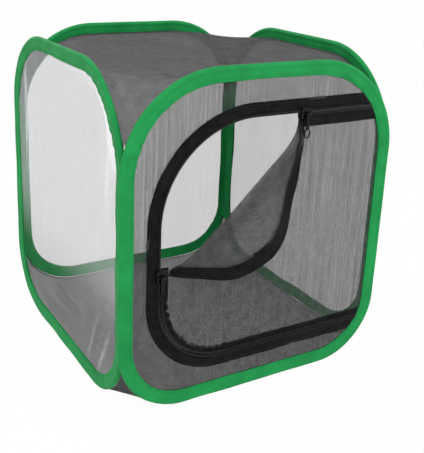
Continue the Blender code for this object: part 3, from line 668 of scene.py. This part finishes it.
def makeCover(name, node, upwards, seam, seed, settings):
    # seam is how far inside the hoops' outline the edge is sewn in, and the edges follow that line of the hoops
    low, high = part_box(node)
    half = np.array([high.x - low.x, high.y - low.y]) / 2 / mm + settings["grow"]
    level = (high.z if upwards else low.z) / mm
    sign = 1 if upwards else -1
    corner = hoop["topRadius"] if upwards else hoop["bottomRadius"]
    radius, straight = corner - seam, hoop["half"] - corner
    counts = (2 * half / settings["step"]).astype(int) | 1
    x, y = np.meshgrid(np.linspace(-half[0], half[0], counts[0]), np.linspace(-half[1], half[1], counts[1]),
                       indexing="ij")
    away = half[0] - np.abs(x), half[1] - np.abs(y)
    lead = [(h - straight) / radius for h in half]
    part = (away[0] + 1e-6) / (away[0] + away[1] + 2e-6)    # 1 at the front and back edges, 0 at the sides
    shared = part * lead[0] + (1 - part) * lead[1]
    # the hoops stand a little to one side of the middle, the front and the back one to opposite sides
    lag = (panelPlane("back")[0] * part * y / half[1] * np.sign(x),
           panelPlane("right")[1] * (1 - part) * x / half[0] * np.sign(y))
    bend = shared - (away[0] + away[1] + lag[0] + lag[1]) / radius
    beyond = bend > 1.02
    bend = np.clip(bend, 0, 1)
    drop = radius * (1 - np.sqrt(1 - bend ** 2))            # the bend is a quarter circle
    # arc length down the bend, so that the flat cut keeps its true size
    table = np.linspace(0, 1, 400)
    fall = radius * (1 - np.sqrt(1 - table ** 2))
    length = np.concatenate([[0], np.cumsum(np.hypot(np.diff(fall), np.diff(table) * radius / math.sqrt(2)))])
    extra = (np.interp(bend, table, length) - bend * radius / math.sqrt(2)) / math.sqrt(2)
    cut = np.stack([x + np.sign(x) * extra, y + np.sign(y) * extra], -1)
    edge = np.minimum(*away)
    wrinkles = settings["wrinkle"] * smoothStep(edge / settings["wrinkleOver"])
    sag = settings["sag"] * smoothStep(edge / settings["sagOver"])
    sag = sag + wrinkles * ripple(seed, 30, 140, np.stack([x, y], -1))
    lift = -sag if upwards else settings["floorShare"] * np.abs(sag)
    points = np.stack([x, y, level - sign * drop + lift], -1).reshape(-1, 3)
    faces, _ = gridFaces(*counts)
    faces = faces[~beyond.ravel()[faces].any(1)]            # the corners' tips are cut off at the hoops
    used, faces = np.unique(faces, return_inverse=True)
    faces, points, cut = faces.reshape(-1, 4), points[used], cut.reshape(-1, 2)[used]
    piece = makeSheet(name, node, points, faces, sign * zAxis, cut, "back_panel",
                      (coverNet, coverNet))
    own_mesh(piece)


makeCover("topNet", "top_net", True, coverSettings["topSeam"], 51, coverSettings)
makeCover("floorNet", "floor_net", False, coverSettings["floorSeam"], 52, coverSettings)
print("top and floor made")


# Door: everything is laid out by the zipper's coil line, a D open to the right
door = {"left": -110.3, "top": 279, "bottom": 45, "topRadius": 95, "bottomRadius": 67,
        "tapeInner": 0.12, "doorInner": 0.2, "tapeOuter": 14.0, "lowerTape": 8.0, "endInset": 14.1,
        "topSlider": 39.22, "sideSlider": 140.8, "sliderHalf": 6.0, "overlap": 2.0,
        "creaseTop": (32.92, 273.0), "creaseBottom": (-105.2, 143.9), "flapAngle": 160}
doorRuns = np.cumsum((0, door["topRadius"] * np.pi / 2,
                      door["top"] - door["topRadius"] - door["bottom"] - door["bottomRadius"],
                      door["bottomRadius"] * np.pi / 2))
# the centres of the top and the bottom arc
topArc, sideArc = door["left"] + door["topRadius"], door["top"] - door["topRadius"]
lowArc, footArc = door["left"] + door["bottomRadius"], door["bottom"] + door["bottomRadius"]


def doorPoint(run, offset):
    # run is measured along the coil line from where its top arc starts, and is negative towards the top slider;
    # offset is outwards from the line
    run, offset = np.broadcast_arrays(np.asarray(run, float), np.asarray(offset, float))
    turnTop = np.pi / 2 + run / door["topRadius"]
    turnLow = np.pi + (run - doorRuns[2]) / door["bottomRadius"]
    wide, low = door["topRadius"] + offset, door["bottomRadius"] + offset
    places = [run < 0, run < doorRuns[1], run < doorRuns[2], run < doorRuns[3]]
    u = np.select(places, [
        topArc - run, topArc + wide * np.cos(turnTop), door["left"] - offset,
        lowArc + low * np.cos(turnLow)], lowArc + run - doorRuns[3])
    z = np.select(places, [
        door["top"] + offset, sideArc + wide * np.sin(turnTop), sideArc - run + doorRuns[1],
        footArc + low * np.sin(turnLow)], door["bottom"] - offset)
    return u, z


def hoopRight(z, inset):
    # how far to the right the hoop's inset line reaches at height z
    radius, up = cornerAt(z)
    reach = np.sqrt(np.maximum((radius - inset) ** 2 - np.maximum(up, 0) ** 2, 0))
    return hoop["half"] - radius + reach


def topEnd(offset, inset=door["endInset"]):
    # the run at which a line at this offset meets the hoop's inset line at the top right
    return topArc - hoopRight(door["top"] + offset, inset)


def lowEnd(offset, inset=door["endInset"]):
    # the same at the bottom right
    return doorRuns[3] + hoopRight(door["bottom"] - offset, inset) - lowArc


creaseTop, creaseBottom = (np.array(door[k], float) for k in ("creaseTop", "creaseBottom"))
creaseLength = np.linalg.norm(creaseTop - creaseBottom)
creaseAlong = (creaseBottom - creaseTop) / creaseLength
creaseIn = np.array([creaseAlong[1], -creaseAlong[0]])      # from the crease into the closed corner

tapeSettings = {"low": 0.12, "high": 0.92, "edge": 0.25, "rib": 0.10, "ribs": 5, "step": 2.2, "wave": 0.35,
                "waveLengths": (18, 70), "frill": 0.0}


def tapeSection(inner, outer, settings):
    # across the tape: (offset, depth) with thin ribs on the front and rounded sides
    across, share = np.linspace(inner, outer, 17), np.linspace(0, 1, 17)
    side = np.abs(share * 2 - 1) ** 12
    ribs = settings["rib"] * np.cos(share * np.pi * 2 * settings["ribs"])
    front = settings["high"] + ribs - settings["edge"] * side
    back = settings["low"] + 0.1 * side
    return np.concatenate([across, across[::-1]]), np.concatenate([front, back[::-1]])


def makeTape(name, node, body, inner, outer, start, stop, seed, settings, shape=onFront):
    # start and stop are functions of the offset that give the ends along the coil line
    offset, depth = tapeSection(inner, outer, settings)
    first, last = start(offset), stop(offset)
    t = np.linspace(0, 1, int(np.max(np.abs(last - first)) / settings["step"]))[:, None]
    run = first + (last - first) * t
    base = np.stack(doorPoint(run, offset), -1)
    loose = smoothStep((np.abs(offset) - 3) / 6)            # the coil keeps its side of the tape straight
    waving = settings["wave"] * loose * ripple(seed, *settings["waveLengths"], base)
    moved = offset
    if settings["frill"]:                                   # the cut edge frays round the lower arc
        low = smoothStep((run - doorRuns[2] + 20) / 30) * smoothStep((doorRuns[3] + 25 - run) / 30)
        cutEdge = 1 - np.clip((offset - inner) / (outer - inner), 0, 1)
        moved = offset + settings["frill"] * low * cutEdge * ripple(seed + 3, 4, 9, base)
        waving = waving + 0.5 * low * ripple(seed + 4, 5, 12, base)
    u, z = doorPoint(run, moved)
    along = np.append(run.mean(1), run[-1].mean())
    points, faces, cornerUv = loft(shape(u, depth + waving, z), False, along, np.append(offset, offset[0]))
    return makePiece(name, points, faces, body, tape, [node], cornerUv)


coilSettings = {"pitch": 1.55, "middle": 1.72, "across": 1.15, "depth": 2.0, "tall": 0.9, "wire": 0.3,
                "turnSteps": 9, "sides": 5}


def makeCoil(name, node, body, side, start, stop, settings, shape=onFront):
    # a helix flattened to an ellipse: offset = middle - across cos(t), depth = height + tall sin(t)
    turns = (stop - start) / settings["pitch"]
    t = np.linspace(0, turns * 2 * np.pi, int(turns * settings["turnSteps"]))
    run = start + (stop - start) * t / t[-1]
    u, z = doorPoint(run, side * (settings["middle"] - settings["across"] * np.cos(t)))
    path = shape(u, settings["depth"] + settings["tall"] * np.sin(t), z)
    rings = tubeAlong(path, settings["wire"], settings["sides"])
    around = np.linspace(0, 2, settings["sides"] + 1)
    points, faces, cornerUv = loft(rings, False, np.append(run, run[-1]), around)
    return makePiece(name, points, faces, body, coil, [node], cornerUv)


topNose = topArc - (door["topSlider"] - door["sliderHalf"])             # the run at each slider's nose
sideNose = doorRuns[1] + sideArc - (door["sideSlider"] + door["sliderHalf"])
tapeIn, tapeOut, doorIn = door["tapeInner"], door["tapeOuter"], door["doorInner"]

makeTape("frameTape", "frame_tape", "front_panel", tapeIn, tapeOut, topEnd, lowEnd, 61, tapeSettings)
makeCoil("frameCoil", "frame_coil", "front_panel", 1, topEnd(1.0) + 1.2, lowEnd(1.0) - 1.2, coilSettings)
makeTape("doorTapeTop", "door_tape_top", "front_panel", -tapeOut, -doorIn, topEnd,
         lambda o: topNose + 0.5 + 0 * o, 62, tapeSettings)
makeCoil("doorCoilTop", "door_coil_top", "front_panel", -1, topEnd(-1.0) + 1.2, topNose - 3, coilSettings)
makeTape("doorTapeLow", "door_tape_low", "front_panel", -door["lowerTape"], -doorIn,
         lambda o: sideNose - 0.5 + 0 * o, lowEnd, 63, {**tapeSettings, "frill": 0.9})
makeCoil("doorCoilLow", "door_coil_low", "front_panel", -1, sideNose + 3, lowEnd(-1.0) - 1.2, coilSettings)
print("zipper made")

# Nets of the front panel: a C round the door, and the door, each from its own outline
frontEdge, frontFacing, _ = hoopOutline(480)
frontEdge = frontEdge - frontFacing * netSettings["inset"]
clothSettings = {"depth": -0.15, "wrinkle": 0.3, "heldOver": 22}


def hoopPart(first, last):
    # the hoop's inset line from near one point to near the other, from the bottom right up and round
    ring = np.roll(frontEdge, -int(np.argmin(np.linalg.norm(frontEdge - first, axis=1))), 0)
    return ring[2:int(np.argmin(np.linalg.norm(ring - last, axis=1))) - 1:2]


def doorLine(start, stop, count, offset):
    return np.stack(doorPoint(np.linspace(start, stop, count), offset), -1)


def frontOutline():
    # from the top right of the zipper round the hoop to the bottom right, and back 2 mm under the outer tape
    offset, inset = tapeOut - 2.2, netSettings["inset"]
    line = doorLine(topEnd(offset, inset), lowEnd(offset, inset), 150, offset)
    return np.concatenate([hoopPart(line[0], line[-1]), line[::-1]])


def makeCloth(name, node, outline, spacing, seed, longest, shape):
    # slack all over but at the hoop, with wrinkles up to the longest
    plan, faces = clothPlan(outline, spacing)
    held = smoothStep((insetAt(*plan.T) - netSettings["inset"]) / clothSettings["heldOver"])
    depth = clothSettings["depth"] + held * clothSettings["wrinkle"] * ripple(seed, 25, longest, plan)
    points = shape(plan[:, 0], depth, plan[:, 1])
    return makeSheet(name, node, points, faces, panelAxes["front"][1], plan, "front_panel",
                     (outerNet, innerNet))


makeCloth("frontNet", "front_net", frontOutline(), 4.4, 34, 90, onFront)

# The folded corner: the cloth rises off the door in a soft roll, highest midway between the sliders. Shares
# count along the crease, from the top slider to the side slider.
rollSettings = {
    "height": 21.0, "lean": 3.7, "reach": 38.0, "hinge": 0.5, "hingeOver": 6, "back": 30,
    "widest": 62.3, "pressed": 3.0, "lifted": 23.0, "liftFrom": 0.25, "liftOver": 0.36,
    "droop": 6.0, "droopAt": 0.82, "droopWidth": 0.1,
    "slip": 4.0, "slipDeep": 40, "slipFrom": 0.42, "slipOver": 0.2, "slipTo": 0.7, "slipFade": 0.3,
}
flapTurn = math.radians(180 - door["flapAngle"])


def creaseShare(u, z):
    # the share along the crease and the distance into the closed corner
    rel = np.stack([u - creaseTop[0], z - creaseTop[1]], -1)
    return rel @ creaseAlong / creaseLength, rel @ creaseIn


def pinch(share):
    # 0 at the sliders and 1 over the middle, rising fast
    return 1 - np.abs(np.clip(share, 0, 1) * 2 - 1) ** 6


def doorRoll(u, d, z):
    # lifts the door towards its crease, by the roll's height and lean
    share, inward = creaseShare(u, z)
    near = pinch(share) * smoothStep(1 - np.maximum(-inward, 0) / rollSettings["reach"])
    hinge = rollSettings["hinge"] * smoothStep(1 + inward / rollSettings["hingeOver"])
    lean = rollSettings["lean"] * near
    return onFront(u + lean * creaseIn[0], d + rollSettings["height"] * near + hinge, z + lean * creaseIn[1])


def flapFold(u, d, z):
    # turns the closed corner about the crease and lifts it off its own plane: at the crease by the roll's
    # crest, and at its far edge from pressed to the door by the top slider to lifted where the lower part hangs
    # open, with one droop there; that part also slips a little down along the crease
    roll = rollSettings
    share, inward = creaseShare(u, z)
    foot = np.stack([u, z], -1) - inward[..., None] * creaseIn
    sine, cosine = math.sin(flapTurn), math.cos(flapTurn)
    width = roll["widest"] * (1 - np.abs((np.clip(share, 0.01, 0.99) - 0.5) / 0.53) ** 2.2)
    far = smoothStep(inward / width)
    crest = roll["height"] * cosine + roll["lean"] * sine
    pressed = roll["pressed"] - width * math.tan(flapTurn)
    lifted = roll["lifted"] + roll["droop"] * hump(share - roll["droopAt"], roll["droopWidth"])
    edge = pressed + (lifted - pressed) * smoothStep((share - roll["liftFrom"]) / roll["liftOver"])
    lift = pinch(share) * (crest * (1 - far) + edge * far) - d
    start = roll["height"] * sine - roll["lean"] * cosine
    slide = start * pinch(share) * (1 - smoothStep(inward / roll["back"]))
    slip = roll["slip"] * smoothStep(inward / roll["slipDeep"])
    slip *= smoothStep((share - roll["slipFrom"]) / roll["slipOver"])
    slip *= 1 - smoothStep((share - roll["slipTo"]) / roll["slipFade"])
    inPlane = -(inward + slide) * cosine + lift * sine
    out = (inward + slide) * sine + lift * cosine + roll["hinge"]
    return onFront(foot[..., 0] + inPlane * creaseIn[0] + slip * creaseAlong[0], out,
                   foot[..., 1] + inPlane * creaseIn[1] + slip * creaseAlong[1])


def doorOutline():
    # from the side slider round under the lower tape, up the hoop, back under the top tape and down the crease
    low, inset = -door["lowerTape"] + door["overlap"], netSettings["inset"]
    line = doorLine(sideNose + 4.0, lowEnd(low, inset), 110, low)
    under = door["top"] - tapeOut + door["overlap"]
    corner = np.array([hoopRight(under, inset), under])
    upper = evenly([corner, (door["topSlider"] - 3, under), tuple(creaseTop)], 4)
    return np.concatenate([line, hoopPart(line[-1], corner), upper, evenly([creaseTop, creaseBottom], 3.5)[1:]])


doorNet = makeCloth("doorNet", "door_net", doorOutline(), 4.0, 35, 100, doorRoll)
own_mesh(doorNet)


def creaseRun(offset, top):
    # where the coil line moved by offset meets the crease, kept clear of the slider
    slope = creaseAlong[1] / creaseAlong[0]
    if top:
        u = creaseTop[0] + (door["top"] + offset - creaseTop[1]) / slope
        return np.maximum(topArc - u, topNose + 0.6)
    z = creaseTop[1] + (door["left"] - offset - creaseTop[0]) * slope
    return np.minimum(doorRuns[1] + sideArc - z, sideNose - 0.6)


def flapOutline():
    # along the inside of the corner's tape, and back along the crease
    inner = -tapeOut + door["overlap"]
    line = doorLine(creaseRun(inner, True), creaseRun(inner, False), 90, inner)
    return np.concatenate([line, evenly([line[-1], line[0]], 3.5)[1:-1]])


plan, faces = clothPlan(flapOutline(), 4.0)
points = flapFold(plan[:, 0], clothSettings["depth"] + 0.5 * ripple(36, 24, 80, plan), plan[:, 1])
flapNet = makeSheet("flapNet", "flap_net", points, faces, (0, 1, 0), plan, "door_flap",
                    (cornerNetPaintedLight, cornerNetPaintedLight))
flapTape = makeTape("flapTape", "flap_tape", "door_flap", -tapeOut, -doorIn, lambda o: creaseRun(o, True),
                    lambda o: creaseRun(o, False), 64, {**tapeSettings, "wave": 0.6}, flapFold)
flapCoil = makeCoil("flapCoil", "flap_coil", "door_flap", -1, float(creaseRun(-1.9, True)) + 3,
                    float(creaseRun(-1.9, False)) - 3, coilSettings, flapFold)
hinge = onFront(creaseTop[0:1], np.array([rollSettings["hinge"]]), creaseTop[1:2])[0]
for soft, keep in ((flapNet, 0.01), (flapTape, 0.02), (flapCoil, 0.03)):
    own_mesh(soft)
print("door made")


# Hardware and wires keep their CAD shapes
easedWidth = 0.22


def softenNode(name, width):
    # the CAD piece with its facets joined and its edges eased, as a polished or plated casting has them
    bm = bmesh.new()
    bm.from_mesh(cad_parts[name].data)
    bmesh.ops.remove_doubles(bm, verts=bm.verts, dist=0.001 * mm)
    bmesh.ops.dissolve_limit(bm, angle_limit=math.radians(2), verts=bm.verts, edges=bm.edges)
    points = np.array([v.co for v in bm.verts]) / mm
    faces = [[v.index for v in f.verts] for f in bm.faces]
    bm.free()
    piece = makePiece(name.replace("_s", "S").replace("_p", "P"), points, faces, name, enamel, [name])
    eased = piece.modifiers.new("eased", "BEVEL")
    eased.width = width * mm
    eased.segments = 3
    eased.limit_method = "ANGLE"
    eased.angle_limit = math.radians(25)
    eased.harden_normals = True


for name in ("top_slider", "side_slider", "top_pull", "side_pull"):
    softenNode(name, easedWidth)
for side in panelAxes:
    for name, material in (("_wire", steel), ("_ferrule", plated)):
        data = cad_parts[side + name].data
        data.materials.clear()
        data.materials.append(material)


# Studio
studio = {"floorSize": 8000, "floorLevel": -0.4, "floorTone": "f2f2f2", "whiteShare": 0.97, "sky": 0.72,
          "aim": (0, 0, 160),
          "key": {"place": (-900, -1500, 1700), "size": 1100, "power": 26.0},
          "fill": {"place": (1500, -1000, 900), "size": 1200, "power": 9.0},
          "back": {"place": (-300, 1500, 1600), "size": 1200, "power": 12.0}}


def makeLamp(name, settings):
    data = bpy.data.lights.new(name, "AREA")
    data.shape = "SQUARE"
    data.size = settings["size"] * mm
    data.energy = settings["power"]
    lamp = newObject(name, data)
    lamp.location = Vector(settings["place"]) * mm
    lamp.rotation_euler = (Vector(studio["aim"]) * mm - lamp.location).to_track_quat("-Z", "Y").to_euler()


def seenByCamera(add):
    # 1 for what the camera sees straight on, in a mirror or through glass, and 0 for the light on the object
    path = add("LightPath").outputs
    seen = add("Math MAXIMUM", path["Is Camera Ray"], path["Is Glossy Ray"])
    return add("Math MAXIMUM", seen, path["Is Transmission Ray"])


def makeStudio(settings):
    # a matt paper floor that the camera sees near white, with the object's shadow on it, under a white sky
    size, level = settings["floorSize"] / 2 * mm, settings["floorLevel"] * mm
    mesh = bpy.data.meshes.new("studioFloor")
    corners = [(-size, -size, level), (size, -size, level), (size, size, level), (-size, size, level)]
    mesh.from_pydata(corners, [], [(0, 1, 2, 3)])
    floor = newObject("studioFloor", mesh)
    made, add, shader = newMaterial("mattPaperSweep", {"Roughness": 0.9, "Specular IOR Level": 0.1,
                                                       "Base Color": colour(settings["floorTone"])})
    share = add("Math MULTIPLY", seenByCamera(add), settings["whiteShare"])
    mix = add("MixShader", share, shader, add("Emission", Color=(1, 1, 1, 1), Strength=1.0))
    setUp(made.node_tree.nodes["Material Output"], {"Surface": mix})
    mesh.materials.append(made)
    world = bpy.data.worlds.new("studioWorld")
    bpy.context.scene.world = world
    world.use_nodes = True
    add = partial(addNode, world.node_tree)
    sky = add("MapRange", seenByCamera(add), 0.0, 1.0, settings["sky"], 1.0)
    setUp(world.node_tree.nodes["Background"], {"Color": (1, 1, 1, 1), "Strength": sky})
    for name in ("key", "fill", "back"):
        makeLamp(name + "Lamp", settings[name])


makeStudio(studio)
scene = bpy.context.scene
scene.view_settings.view_transform = "Standard"
scene.cycles.transparent_max_bounces = 40                   # a sight line crosses up to twelve net faces
print("studio made")
